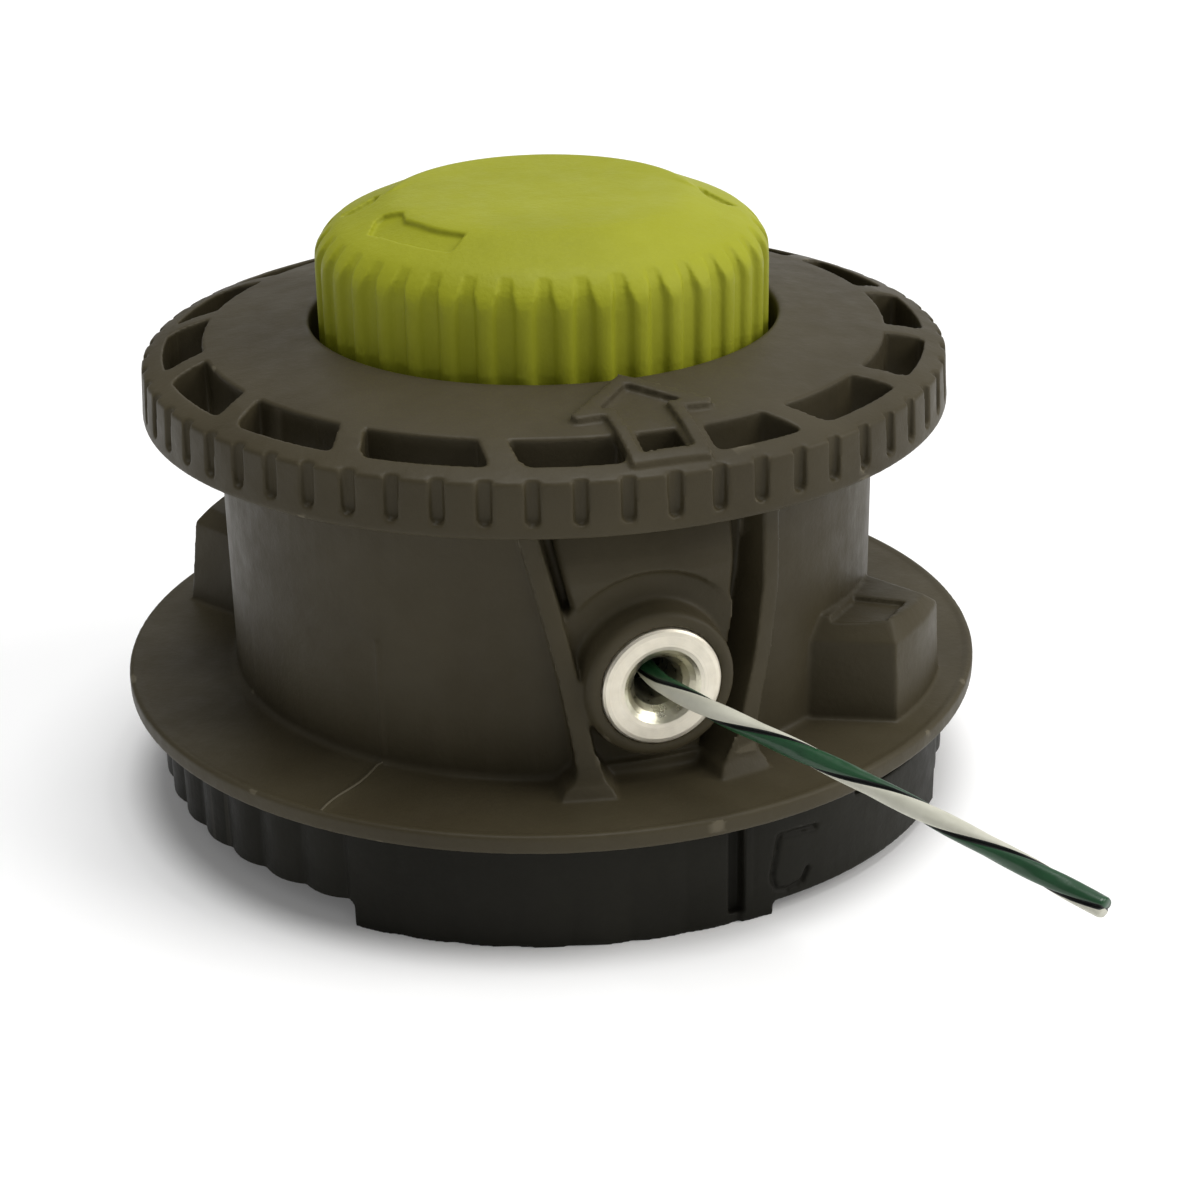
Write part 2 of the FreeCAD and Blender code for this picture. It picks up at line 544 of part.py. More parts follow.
# latch blocks: bevelled at the front, with a sunk panel in the sloping top
def block_wire(z, fi, fo, r_fo, ro, r_ro, ri):
    p0, p1, p2, p3 = at(fi, 41.8, z), at(fo, r_fo, z), at(ro, r_ro, z), at(ri, 41.8, z)
    pm, pn = at(0.5 * (fo + ro), 0.5 * (r_fo + r_ro) + 0.25, z), at(0.5 * (fi + ri), 41.8, z)
    return Part.Wire([Part.LineSegment(p0, p1).toShape(), Part.Arc(p1, pm, p2).toShape(),
                      Part.LineSegment(p2, p3).toShape(), Part.Arc(p3, pn, p0).toShape()])


block_low = Part.makeLoft([block_wire(17.0, 47.4, 55.4, 53.0, 74.6, 53.2, 82.6), block_wire(28.1, 47.8, 55.5, 52.3, 71.4, 53.0, 79.2)], True, True)
block_cap = Part.makeLoft([block_wire(28.1, 47.8, 55.5, 52.3, 71.4, 53.0, 79.2), block_wire(31.2, 51.0, 57.6, 50.3, 67.4, 50.3, 72.9)], True, True)
eb, tb = at(65.0, 1.0), Vector(math.cos(rad(65.0)), math.sin(rad(65.0)), 0)


def block_prism(rows, e0, e1):
    """rows: tangential place and height; runs from e0 to e1 outwards."""
    pts = [tb * t + eb * e0 + Vector(0, 0, z) for t, z in rows]
    return Part.Face(Part.makePolygon(pts + [pts[0]])).extrude(eb * (e1 - e0))


slope = block_prism([(-16.0, 31.35), (-10.8, 30.95), (10.0, 29.25), (16.0, 28.8), (16.0, 36.0), (-16.0, 36.0)], 35.0, 58.0)
panel_pts = [eb * e + tb * t for e, t in ((43.2, -10.0), (49.9, -6.9), (50.1, 0.2), (43.4, -0.8))]
panel_pts = [Vector(v.x, v.y, 0) for v in panel_pts]
panel_cut = prism(panel_pts, 20.0, 34.0).common(block_prism([(-16.0, 30.6), (-10.8, 30.2), (10.0, 28.5), (16.0, 28.05), (16.0, 36.0), (-16.0, 36.0)], 35.0, 58.0))
block = block_low.fuse(block_cap).cut(slope).cut(panel_cut.cut(Part.makeCylinder(S["drum_radius"], 60.0)))

# raised outline arrow on the flange's cone
A0 = 16.3
ea, ta = at(A0, 1.0), Vector(math.cos(rad(A0)), math.sin(rad(A0)), 0)


def uv(points):
    return [ea * v + ta * u for u, v in points]


outer_arrow = [(0, 31.2), (8.7, 39.5), (8.3, 40.6), (4.8, 40.6), (4.8, 50.6), (-4.8, 50.6), (-4.8, 40.6), (-8.3, 40.6), (-8.7, 39.5)]
inner_arrow = [(0, 33.6), (5.1, 39.0), (3.2, 39.0), (3.2, 48.8), (-3.2, 48.8), (-3.2, 39.0), (-5.1, 39.0)]
arrow = prism(uv(outer_arrow), 58.0, 68.0).cut(prism(uv(inner_arrow), 57.0, 69.0))
lift = 0.9
band = revolve_outline([(30.8, S["hole_edge"] - 1.0), (44.2, S["cone_mid"] - 1.0), (49.4, S["cone_low"] - 1.0), (50.9, 58.9),
                        (50.9, cone_z(50.9) + lift - 0.35), (50.6, cone_z(50.6) + lift - 0.1), (49.4, S["cone_low"] + lift),
                        (44.2, S["cone_mid"] + lift), (30.8, S["hole_edge"] + lift)])
arrow = arrow.common(band)

# windows in the flange outside the drum, with spokes between
def window(a_in0, a_in1, a_out0, a_out1, r0=44.3, r1=49.3):
    def arc_pts(a0, a1, r, n=4):
        return [at(a0 + (a1 - a0) * i / n, r) for i in range(n + 1)]
    c = 1.1
    k = math.degrees(c / r1)
    pts = arc_pts(a_in0, a_in1, r0)
    m1 = a_in1 + (a_out1 - a_in1) * (r1 - c - r0) / (r1 - r0)
    m0 = a_in0 + (a_out0 - a_in0) * (r1 - c - r0) / (r1 - r0)
    pts += [at(m1, r1 - c), at(a_out1 - 0.3 * k, r1 - 0.3 * c)]
    pts += arc_pts(a_out1 - k, a_out0 + k, r1)
    pts += [at(a_out0 + 0.3 * k, r1 - 0.3 * c), at(m0, r1 - c)]
    return prism(pts, 52.0, 66.0)


windows = []
for k in range(-8, 0):
    i0 = 14.4 + 22.5 * k + 2.25
    i1 = 14.4 + 22.5 * (k + 1) - 2.25
    o0, o1 = i0 + 2.7, i1 + 2.7
    if k == -8:        # beside the rear arrow
        i0, o0 = 24.0 - 180.0, 23.2 - 180.0
    if k == -1:        # beside the front arrow
        i1, o1 = 10.5, 10.6
    windows.append(window(i0, i1, o0, o1))
windows.append(window(13.2, 19.5, 13.3, 19.4, 44.2, 48.8))
windows += [turned(w, 180.0) for w in windows]
window_cuts = feature("WindowCuts", Part.makeCompound(windows))

# notches round the flange's side
notches = []
n1 = Part.makeBox(1.75, 3.0, 8.0, Vector(-0.875, 51.45, 55.2))
n2 = Part.makeCylinder(0.875, 3.0, Vector(0, 51.45, 55.2), Vector(0, 1, 0))
one = n1.fuse(n2)
for k in range(60):
    notches.append(turned(one, 180.0 - 2.0 + 6.0 * k))
notch_cuts = feature("NotchCuts", Part.makeCompound(notches))

# fine witness line down the drum, across the disc and down the rim
wa = -29.5
witness = []
for r0, r1, z0, z1 in ((42.5, 43.3, 17.0, 34.0), (42.8, 56.8, 16.8, 17.55)):
    bar = Part.makeBox(0.4, r1 - r0, z1 - z0, Vector(-0.2, r0, z0))
    witness.append(turned(bar, 180.0 + wa))

# bosses for the drive ring's screws
bosses = []
for k in range(4):
    p = at(61.2 + 90.0 * k, 38.0)
    bosses.append(Part.makeCylinder(3.0, 13.0, Vector(p.x, p.y, S["collar_bottom"])).cut(
        Part.makeCylinder(1.3, 9.0, Vector(p.x, p.y, S["collar_bottom"]))))

half_adds = [thick] + gussets
half_add = fuse_all(half_adds)
add_one = feature("WallThickening", Part.makeCompound([half_add, turned(half_add, 180.0)]))
pocket_cuts = feature("PocketCuts", Part.makeCompound([pocket, turned(pocket, 180.0)]))
half_stand = [step.fuse(boss).fuse(hood), block, arrow]
stand = feature("PocketStands", Part.makeCompound(half_stand + [turned(s, 180.0) for s in half_stand] + bosses + [fuse_all(witness)]))
seat_cuts = feature("EyeletSeats", Part.makeCompound([seat, turned(seat, 180.0)]))
inner_clear = feature("InnerClear", revolve_outline([(0, 10.0), (37.6, 10.0), (37.6, 47.9), (0, 47.9)]))
l1 = joined("Part::Fuse", "LowerThick", shell, [add_one])
l2 = joined("Part::Cut", "LowerPockets", l1, [pocket_cuts])
l3 = joined("Part::Cut", "LowerWindows", l2, [window_cuts])
l4 = joined("Part::Cut", "LowerNotches", l3, [notch_cuts])
l5 = joined("Part::Fuse", "LowerStands", l4, [stand])
l6 = joined("Part::Cut", "LowerSeats", l5, [seat_cuts])
l7 = joined("Part::Cut", "LowerHousing", l6, [inner_clear])
node(l7, "lower_housing")

# ---------------------------------------------------------------------------------------------- eyelets (aluminium)
for label, az in (("eyelet_front", S["eye_azimuth"]), ("eyelet_rear", S["eye_azimuth"] + 180.0)):
    eye = new_body("Body_" + label)
    revolved(eye, "Turned_" + label, [
        ("eye_bore", "eye_inner + 0.5"), ("eye_bore + 0.5", "eye_inner"), ("eye_barrel - 0.02", "eye_inner"),
        ("eye_barrel - 0.02", "eye_seat"), ("eye_flange", "eye_seat"), ("eye_flange", "eye_face - 0.75"),
        ("eye_flange - 0.1", "eye_face - 0.4"), ("eye_flange - 0.35", "eye_face - 0.12"), ("eye_flange - 0.8", "eye_face"),
        ("eye_mouth + 0.5", "eye_face"), ("eye_mouth", "eye_face - 0.15"), ("eye_mouth - 0.5", "eye_face - 0.5"),
        ("eye_mouth - 1.1", "eye_face - 1.15"), ("eye_mouth - 1.7", "eye_face - 2.05"),
        ("eye_mouth - 2.1", "eye_face - 3.1"), ("eye_bore", "eye_face - 4.2")])
    eye.Placement = radial_frame(az, S["eye_height"])
    node(eye, label)

# ---------------------------------------------------------------------------------------------- cams and their screws
index = new_body("IndexCam")
revolved(index, "IndexTurned", [("index_in", "web_top"), ("index_out", "web_top"), ("index_out", "index_base"), ("index_in", "index_base")])
doc.recompute()
toothed(index, "IndexTooth", "index_base", "index_tip - index_base", "low_teeth_in", "low_teeth_out", 5.6, 12, 15.0)
doc.recompute()
lugs, lug_holes, idx_screws, drv_screws, drv_lugs, drv_holes = [], [], [], [], [], []
for k in range(4):
    p = at(45.0 + 90.0 * k, 33.6)
    lugs.append(Part.makeCylinder(3.4, S["index_base"] - S["web_top"], Vector(p.x, p.y, S["web_top"])))
    lug_holes.append(Part.makeCylinder(1.45, 3.0, Vector(p.x, p.y, S["web_top"] - 1.0)))
    idx_screws.append(Part.makeCylinder(2.5, 1.6, Vector(p.x, p.y, S["index_base"])).fuse(
        Part.makeCylinder(1.25, S["index_base"] - S["web_bottom"] - 0.3, Vector(p.x, p.y, S["web_bottom"] + 0.3))).cut(
        Part.makeBox(0.7, 4.0, 0.9, Vector(p.x - 0.35, p.y - 2.0, S["index_base"] + 0.9))))
lug_fuse = feature("IndexLugs", fuse_all([ring_solid(S["index_in"], S["index_out"], S["web_top"], S["index_base"])] + lugs))
idx1 = joined("Part::Fuse", "IndexJoined", index, [lug_fuse])
idx_cut = feature("IndexHoles", Part.makeCompound(lug_holes))
node(joined("Part::Cut", "IndexRing", idx1, [idx_cut]), "index_cam_ring")
node(feature("IndexScrews", Part.makeCompound(idx_screws)), "index_cam_screws")

drive = new_body("DriveCam")
revolved(drive, "DriveTurned", [("drive_in", "drive_base"), ("drive_out", "drive_base"), ("drive_out", "collar_bottom"), ("drive_in", "collar_bottom")])
doc.recompute()
toothed(drive, "DriveTooth", "drive_tip", "drive_base - drive_tip", "high_teeth_in", "high_teeth_out", 5.6, 12, 15.0)
doc.recompute()
for k in range(4):
    p = at(61.2 + 90.0 * k, 38.0)
    drv_lugs.append(Part.makeCylinder(2.5, S["collar_bottom"] - S["drive_base"], Vector(p.x, p.y, S["drive_base"])))
    drv_lugs.append(turned(Part.makeBox(4.4, 3.2, S["collar_bottom"] - S["drive_base"], Vector(-2.2, 34.8, S["drive_base"])), 180.0 + 61.2 + 90.0 * k))
    drv_holes.append(Part.makeCylinder(1.45, 4.0, Vector(p.x, p.y, S["drive_base"] - 1.0)))
    drv_screws.append(Part.makeCylinder(2.4, 1.6, Vector(p.x, p.y, S["drive_base"] - 1.6)).fuse(
        Part.makeCylinder(1.25, 9.5, Vector(p.x, p.y, S["drive_base"]))).cut(
        Part.makeBox(0.7, 4.0, 0.9, Vector(p.x - 0.35, p.y - 2.0, S["drive_base"] - 1.7))))
dl = feature("DriveLugs", fuse_all([ring_solid(S["drive_out"] - 1.0, S["drive_out"], S["drive_base"], S["collar_bottom"])] + drv_lugs))
d1 = joined("Part::Fuse", "DriveJoined", drive, [dl])
dh = feature("DriveHoles", Part.makeCompound(drv_holes))
node(joined("Part::Cut", "DriveRing", d1, [dh]), "drive_cam_ring")
node(feature("DriveScrews", Part.makeCompound(drv_screws)), "drive_cam_screws")

# ---------------------------------------------------------------------------------------------- spring, seat, washers
def washer(label, name, r_in, r_out, low, height):
    a = cylinder(name + "Disc", r_out, low, height)
    b = cylinder(name + "Hole", r_in, low, height)
    return node(joined("Part::Cut", name, a, [b]), label)


washer("spring_washer", "SpringWasher", "post_radius + 0.2", "spring_mean + 2.4", "hub_top", "1.0")
turns = 7.0
zlow, zhigh, wr = S["spring_low"], S["spring_high"], S["spring_wire"] / 2
pitch = (zhigh - zlow - 2 * wr) / turns
helix = Part.makeHelix(pitch, zhigh - zlow - 2 * wr, S["spring_mean"])
circle = Part.Wire(Part.Circle(Vector(S["spring_mean"], 0, 0), Vector(0, 1, 0), wr).toShape())
coil = Part.Wire(helix).makePipeShell([circle], True, True)
coil.translate(Vector(0, 0, zlow + wr))
if coil.ShapeType != "Solid":
    coil = coil.Solids[0]
node(feature("BumpSpring", coil), "bump_spring")

spring_seat = new_body("SpringSeat")
revolved(spring_seat, "SeatTurned", [
    ("seat_bore", "seat_bottom"), ("seat_sleeve", "seat_bottom"), ("seat_sleeve", "spring_high + 0.05"),
    ("seat_flange", "spring_high + 0.05"), ("seat_flange", "seat_flange_top"), ("seat_sleeve", "seat_flange_top"),
    ("seat_sleeve", "seat_top - 0.3"), ("seat_sleeve - 0.3", "seat_top"), ("seat_bore", "seat_top")])
node(spring_seat, "spring_seat")
washer("thrust_washer", "ThrustWasher", "seat_sleeve + 0.2", "seat_flange + 0.2", "seat_flange_top + 0.05", "0.8")

rr = ring_solid(S["groove_radius"] + 0.02, 9.4, S["groove_low"] + 0.05, S["groove_high"] - 0.05, 8.0, 352.0)
node(feature("RetainingRing", rr), "retaining_ring")

# ---------------------------------------------------------------------------------------------- spool
spool = new_body("Spool")
revolved(spool, "SpoolTurned", [
    ("core_inner", "spool_low"), ("spool_radius - 0.5", "spool_low"), ("spool_radius", "spool_low + 0.5"),
    ("spool_radius", "low_flange_top - 0.3"), ("spool_radius - 0.3", "low_flange_top"), ("core_outer", "low_flange_top"),
    ("core_outer", "divider_low"), ("spool_radius - 0.3", "divider_low"), ("spool_radius", "divider_low + 0.3"),
    ("spool_radius", "divider_top - 0.3"), ("spool_radius - 0.3", "divider_top"), ("core_outer", "divider_top"),
    ("core_outer", "top_flange_low"), ("spool_radius - 0.3", "top_flange_low"), ("spool_radius", "top_flange_low + 0.3"),
    ("spool_radius", "top_flange_top - 0.3"), ("spool_radius - 0.3", "top_flange_top"), ("collar_wall", "top_flange_top"),
    ("collar_wall", "collar_top"), ("spool_bore", "collar_top"), ("spool_bore", "top_flange_low"),
    ("core_inner", "top_flange_low")])
doc.recompute()
toothed(spool, "SpoolLowTooth", "low_teeth_tip", "spool_low - low_teeth_tip + 0.2", "low_teeth_in", "low_teeth_out", 5.6, 12, 0.0)
doc.recompute()
toothed(spool, "SpoolHighTooth", "top_flange_top - 0.2", "high_teeth_tip - top_flange_top + 0.2", "high_teeth_in", "high_teeth_out", 5.6, 12, 0.0)
doc.recompute()
sh = []
for k in range(3):
    p = at(60.0 + 120.0 * k, S["screw_circle"])
    sh.append(Part.makeCylinder(S["screw_shank"] + 0.2, 6.0, Vector(p.x, p.y, 38.0)))
spool_holes = feature("SpoolHoles", Part.makeCompound(sh))
node(joined("Part::Cut", "SpoolDone", spool, [spool_holes]), "spool")

# ---------------------------------------------------------------------------------------------- knob
knob_turned = new_body("KnobTurned")
revolved(knob_turned, "KnobEnvelope", [
    ("knob_skirt - 2.0", "knob_bottom"), ("knob_skirt", "knob_bottom"), ("knob_skirt", "rib_start - 0.9"),
    ("knob_crest", "rib_start"), ("knob_crest", "side_top"), ("knob_crest - 0.12", "side_top + 1.1"),
    ("knob_crest - 0.44", "side_top + 2.0"), ("knob_crest - 0.9", "side_top + 2.75"), ("knob_crest - 1.5", "side_top + 3.5"),
    ("knob_crest - 2.2", "side_top + 4.15"), ("knob_crest - 3.05", "side_top + 4.75"), ("knob_crest - 3.96", "side_top + 5.21"),
    ("crown_radius + 5.0", "crown_top - 1.62"), ("crown_radius + 3.1", "crown_top - 0.88"), ("crown_radius + 2.0", "crown_top - 0.48"),
    ("crown_radius + 0.9", "crown_top - 0.22"), ("crown_radius - 0.5", "crown_top - 0.07"), ("crown_radius - 2.5", "crown_top"),
    ("0", "crown_top"), ("0", "crown_top - 2.4"), ("crown_radius - 0.5", "crown_top - 2.4"), ("knob_crest - 5.2", "side_top + 2.6"),
    ("knob_skirt - 2.0", "side_top - 0.4")])
doc.recompute()
n = int(S["knob_ribs"])
edges = []
p_deg = 360.0 / n
rc, rv = S["knob_crest"] + 0.02, S["knob_valley"]
half_base, half_top = 0.29 * p_deg, 0.22 * p_deg
for k in range(n):
    c = 4.9 + p_deg * k
    edges.append(Part.LineSegment(at(c - half_base, rv), at(c - half_top, rv + 0.55)).toShape())
    edges.append(Part.Arc(at(c - half_top, rv + 0.55), at(c, rc), at(c + half_top, rv + 0.55)).toShape())
    edges.append(Part.LineSegment(at(c + half_top, rv + 0.55), at(c + half_base, rv)).toShape())
    edges.append(Part.Arc(at(c + half_base, rv), at(c + p_deg / 2, rv), at(c + p_deg - half_base, rv)).toShape())
scallop = Part.Face(Part.Wire(Part.__sortEdges__(edges))).extrude(Vector(0, 0, 40.0))
scallop.translate(Vector(0, 0, 41.0))
scallop = feature("RibOutline", scallop)
knob_ribbed = doc.addObject("Part::Common", "KnobRibbed")
knob_ribbed.Base, knob_ribbed.Tool = knob_turned, scallop

# the flutes between the ribs bend in with the shoulder and end under the crown's edge
flute_ring = revolve_outline([(28.6, 71.3), (28.38, 71.5), (28.24, 72.6), (28.02, 73.6), (27.68, 74.4), (27.25, 75.05), (26.85, 75.6), (26.5, 76.2), (31.0, 76.2), (31.0, 71.3)])
f0, f1 = 4.9 + half_base + 0.15, 4.9 + p_deg - half_base - 0.15
flute = flute_ring.common(prism([at(f0, 25.0), at(f0, 32.0), at(f1, 32.0), at(f1, 25.0)], 70.0, 80.0))
flute_cuts = feature("FluteEnds", Part.makeCompound([turned(flute, p_deg * k) for k in range(n)]))
knob_fluted = joined("Part::Cut", "KnobFluted", knob_ribbed, [flute_cuts])

kb = []
inner = revolve_outline([(0, 41.9), (26.6, 41.9), (26.6, 71.2), (24.3, 74.2), (17.2, 77.2), (0, 77.2)])
for k in range(3):
    az = 60.0 + 120.0 * k
    p = at(az, S["screw_circle"])
    b = Part.makeCylinder(3.5, 36.0, Vector(p.x, p.y, S["knob_bottom"]))
    web = turned(Part.makeBox(1.8, 12.0, 30.0, Vector(-0.9, S["screw_circle"], 48.0)), 180.0 + az)
    kb.append(b.fuse(web).common(inner).cut(Part.makeCylinder(S["screw_shank"] + 0.03, 14.0, Vector(p.x, p.y, S["knob_bottom"] - 0.5))))
knob_bosses = feature("KnobBosses", Part.makeCompound(kb))


def knob_prof(r):
    pts = [(0, 79.4), (15.0, 79.4), (17.0, 79.33), (18.4, 79.18), (19.5, 78.92), (20.6, 78.52), (22.5, 77.78), (25.34, 76.61), (26.25, 76.15), (27.1, 75.55), (27.8, 74.9), (28.4, 74.15), (28.86, 73.4), (29.3, 71.4)]
    for (r0, z0), (r1, z1) in zip(pts[:-1], pts[1:]):
        if r <= r1:
            return z0 + (z1 - z0) * (r - r0) / (r1 - r0)
    return 71.4


depth = 0.75
rs = [12.0, 15.0, 17.0, 18.4, 19.5, 20.6, 22.5, 25.34, 26.25, 27.1, 27.8]
above = revolve_outline([(r, knob_prof(r) - depth) for r in rs] + [(31.0, knob_prof(27.8) - depth), (31.0, 84.0), (12.0, 84.0)])


def arc_pts(a0, a1, r, m=10):
    return [at(a0 + (a1 - a0) * i / m, r) for i in range(m + 1)]


band_pts = arc_pts(-28.0, -57.0, 19.7) + [Vector(-17.3, -7.6, 0), Vector(-19.8, -6.6, 0), Vector(-20.7, -7.3, 0), Vector(-21.4, -10.8, 0)] + arc_pts(-57.5, -28.0, 23.2)
# head widened on both sides of the band
head = [Vector(-13.3, -14.6, 0), Vector(-16.9, -10.3, 0), Vector(-17.3, -7.6, 0), Vector(-19.8, -6.6, 0), Vector(-20.7, -7.3, 0), Vector(-21.4, -10.8, 0), Vector(-16.9, -16.1, 0)]
band_only = prism(arc_pts(-28.0, -55.0, 19.7) + arc_pts(-55.0, -28.0, 23.2), 70.0, 84.0)
head_only = prism(head, 70.0, 84.0)
# a small scoop in the shoulder at each side
scoop_r = [(20.33, 3.33), (20.78, 0.94), (21.49, -0.56), (22.57, -1.22), (23.99, -0.63), (25.2, 0.5), (24.0, 1.2), (22.8, 1.85), (21.7, 2.7), (21.1, 3.8)]
scoops = [prism([Vector(x, y, 0) for x, y in scoop_r], 70.0, 84.0), prism([Vector(-x - 0.45, y, 0) for x, y in scoop_r], 70.0, 84.0)]
marks = fuse_all([band_only, head_only] + scoops).common(above)
# the back of the crown rises slightly behind a curved crease
crease = revolve_outline([(29.4, 77.6), (42.0, 77.6), (42.0, 80.0), (29.4, 79.36)])
crease.translate(Vector(0, -19.4, 0))
rise = crease.common(revolve_outline([(0, 77.6), (20.6, 77.6), (20.6, 78.5), (20.2, 78.74), (19.6, 79.08), (19.0, 79.36), (18.3, 79.58),
                                      (17.3, 79.72), (15.0, 79.85), (0, 79.9)]))
rise = feature("CrownRise", rise.common(Part.makeBox(60.0, 40.0, 20.0, Vector(-30.0, 0.0, 70.0))))
knob_marks = feature("KnobMarks", marks)
k1 = joined("Part::Fuse", "KnobFilled", knob_fluted, [knob_bosses, rise])
node(joined("Part::Cut", "Knob", k1, [knob_marks]), "knob")

ks = []
for k in range(3):
    p = at(60.0 + 120.0 * k, S["screw_circle"])
    s = Part.makeCylinder(S["screw_head"], 2.1, Vector(p.x, p.y, S["top_flange_low"] - 2.1)).fuse(
        Part.makeCylinder(S["screw_shank"], 15.0, Vector(p.x, p.y, S["top_flange_low"]))).cut(
        Part.makeBox(0.8, 4.4, 1.2, Vector(p.x - 0.4, p.y - 2.2, S["top_flange_low"] - 2.3)))
    ks.append(s)
node(feature("KnobScrews", Part.makeCompound(ks)), "knob_screws")

# ---------------------------------------------------------------------------------------------- wound line
d = S["line_diameter"]
for label, low, high in (("line_coil_lower", S["low_flange_top"] + 0.1, S["divider_low"] - 0.1),
                         ("line_coil_upper", S["divider_top"] + 0.1, S["top_flange_low"] - 0.1)):
    c = new_body("Body_" + label)
    z0, z1 = "%.3f" % low, "%.3f" % high
    revolved(c, "Turned_" + label, [
        ("core_outer + 0.02", z0), ("coil_outer - 0.7", z0), ("coil_outer", "%.3f" % (low + 0.7)),
        ("coil_outer", "%.3f" % (high - 0.7)), ("coil_outer - 0.7", z1), ("core_outer + 0.02", z1)])
    node(c, label)

# ---------------------------------------------------------------------------------------------- line end, front
# straight runs joined by tangent arcs
ROUTE = [Vector(10.55, -37.0, 30.6), Vector(11.7, -42.6, 30.85), Vector(14.2, -47.0, 30.9), Vector(20.7, -54.6, 30.6),
         Vector(36.9, -71.3, 29.6), Vector(55.9, -92.0, 27.0)]


def tube(route, dia):
    n = len(route)
    edges, start, total = [], route[0], 0.0
    for i in range(1, n - 1):
        a, b, c = route[i - 1], route[i], route[i + 1]
        u, w = (a - b).normalize(), (c - b).normalize()
        turn = math.pi - u.getAngle(w)
        short = min((a - b).Length, (c - b).Length)
        cut = 0.45 * short
        r = cut / math.tan(turn / 2)
        print("arc", i, "turn deg", round(math.degrees(turn), 2), "radius", round(r, 1), "run", round(short, 1))
        p, s = b + u * cut, b + w * cut
        bis = (u + w).normalize()
        mid = b + bis * (r / math.cos(turn / 2) - r)
        edges.append(Part.LineSegment(start, p).toShape())
        edges.append(Part.Arc(p, mid, s).toShape())
        start = s
    edges.append(Part.LineSegment(start, route[-1]).toShape())
    w = Part.Wire(edges)
    total = w.Length
    axis = (route[1] - route[0]).normalize()
    sec = Part.Wire(Part.Circle(route[0], axis, dia / 2).toShape())
    s = w.makePipeShell([sec], True, True)
    print("line length", round(total, 2), "volume", round(s.Volume, 3), "section x length", round(math.pi * dia * dia / 4 * total, 3))
    return s


node(feature("LineFront", tube(ROUTE, S["line_diameter"])), "line_front")

# ---------------------------------------------------------------------------------------------- checks and files
doc.recompute()
bad = []
for o in doc.Objects:
    if any(word in ("Invalid", "Error") for word in o.State):
        bad.append("%s %s" % (o.Name, o.State))
for label, obj in NODES:
    s = obj.Shape
    if s.isNull() or not s.isValid():
        bad.append(label + " shape")
    elif not s.Solids:
        bad.append(label + " holds no solid")
if bad:
    raise SystemExit("; ".join(bad))
os.makedirs("parts", exist_ok=True)
for label, obj in NODES:
    obj.Shape.exportStep(os.path.join("parts", label + ".step"))
    bb = obj.Shape.BoundBox
    print("%-18s solids %d volume %9.1f  x %7.2f %7.2f  y %7.2f %7.2f  z %6.2f %6.2f" % (
        label, len(obj.Shape.Solids), obj.Shape.Volume, bb.XMin, bb.XMax, bb.YMin, bb.YMax, bb.ZMin, bb.ZMax))
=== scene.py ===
import bpy
import bmesh
import math
import numpy as np
from mathutils import Matrix, Vector


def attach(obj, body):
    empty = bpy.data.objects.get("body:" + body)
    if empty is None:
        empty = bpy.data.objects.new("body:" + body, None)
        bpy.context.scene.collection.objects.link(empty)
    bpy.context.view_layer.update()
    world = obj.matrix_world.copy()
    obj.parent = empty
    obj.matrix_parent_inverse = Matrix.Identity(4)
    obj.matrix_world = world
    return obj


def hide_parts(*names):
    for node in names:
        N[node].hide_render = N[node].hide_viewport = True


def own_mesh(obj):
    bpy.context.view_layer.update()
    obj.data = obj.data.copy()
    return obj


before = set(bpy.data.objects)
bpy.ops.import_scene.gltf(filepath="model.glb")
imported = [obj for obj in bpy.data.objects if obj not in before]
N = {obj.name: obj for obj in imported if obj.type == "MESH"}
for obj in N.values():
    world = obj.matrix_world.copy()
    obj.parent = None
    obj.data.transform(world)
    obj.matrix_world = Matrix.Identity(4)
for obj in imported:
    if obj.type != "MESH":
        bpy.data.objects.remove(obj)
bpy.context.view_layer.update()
scene = bpy.context.scene
scene.view_settings.view_transform = "Standard"
scene.view_settings.look = "None"
scene.view_settings.exposure = 0.0
scene.view_settings.gamma = 1.0

# ------------------------------------------------------------------------------------------------ camera
cam_data = bpy.data.cameras.new("camera")
cam_data.sensor_width = 36.0
cam_data.lens = 73.2045
cam_data.clip_start = 0.01
cam_data.clip_end = 20.0
cam = bpy.data.objects.new("camera", cam_data)
scene.collection.objects.link(cam)
right = Vector((0.99946503, -0.02885034, -0.01540511))
up = Vector((0.02584107, 0.40787983, 0.91266987))
fwd = Vector((0.0200474, 0.9125797, -0.40840714))
m = Matrix.Identity(4)
for i in range(3):
    m[i][0], m[i][1], m[i][2] = right[i], up[i], -fwd[i]
m[0][3], m[1][3], m[2][3] = 0.0, -0.305758788, 0.158729426
cam.matrix_world = m
scene.camera = cam


# ------------------------------------------------------------------------------------------------ helpers
def link(obj):
    scene.collection.objects.link(obj)
    return obj


def at(az, r, z=0.0):
    a = math.radians(az)
    return Vector((r * math.sin(a), -r * math.cos(a), z))


def sm(x, a, b):
    """Smooth step from 0 at a to 1 at b."""
    t = np.clip((np.asarray(x, float) - a) / (b - a), 0.0, 1.0)
    return t * t * (3.0 - 2.0 * t)


